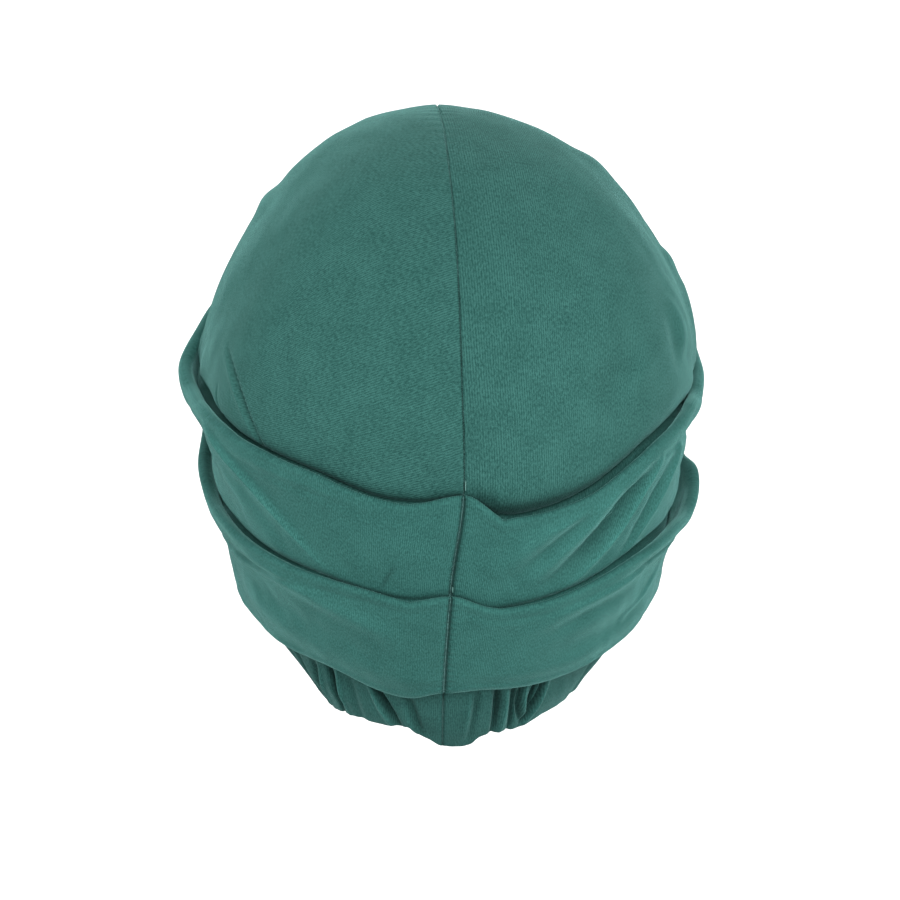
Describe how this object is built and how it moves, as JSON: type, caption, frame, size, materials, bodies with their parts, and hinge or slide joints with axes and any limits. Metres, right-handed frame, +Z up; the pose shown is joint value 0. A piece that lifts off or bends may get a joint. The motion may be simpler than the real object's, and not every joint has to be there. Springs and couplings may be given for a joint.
{
  "type": "jersey turban",
  "caption": "Soft head wrap of petrol green jersey with a seamed dome crown, wide rolled folds round the back and sides and a gathered elastic nape",
  "frame": {"origin": "where the top of the head meets the inside of the crown, at its apex", "axes": "+Z up, the wearer faces -Y, +X is the wearer's left"},
  "size_m": [0.174, 0.2035, 0.195],
  "materials": {
    "crown_jersey": "brushed knitted jersey stretched smooth, matt with a soft bloom at grazing angles",
    "fold_jersey": "brushed knitted jersey, doubled and rolled, matt",
    "nape_jersey": "brushed knitted jersey, gathered, matt"
  },
  "bodies": {
    "root": {"crown_left": "crown_jersey", "crown_right": "crown_jersey", "upper_fold_left": "fold_jersey", "upper_fold_right": "fold_jersey", "lower_fold_left": "fold_jersey", "lower_fold_right": "fold_jersey", "nape_gather_left": "nape_jersey", "nape_gather_right": "nape_jersey"}
  },
  "joints": []
}
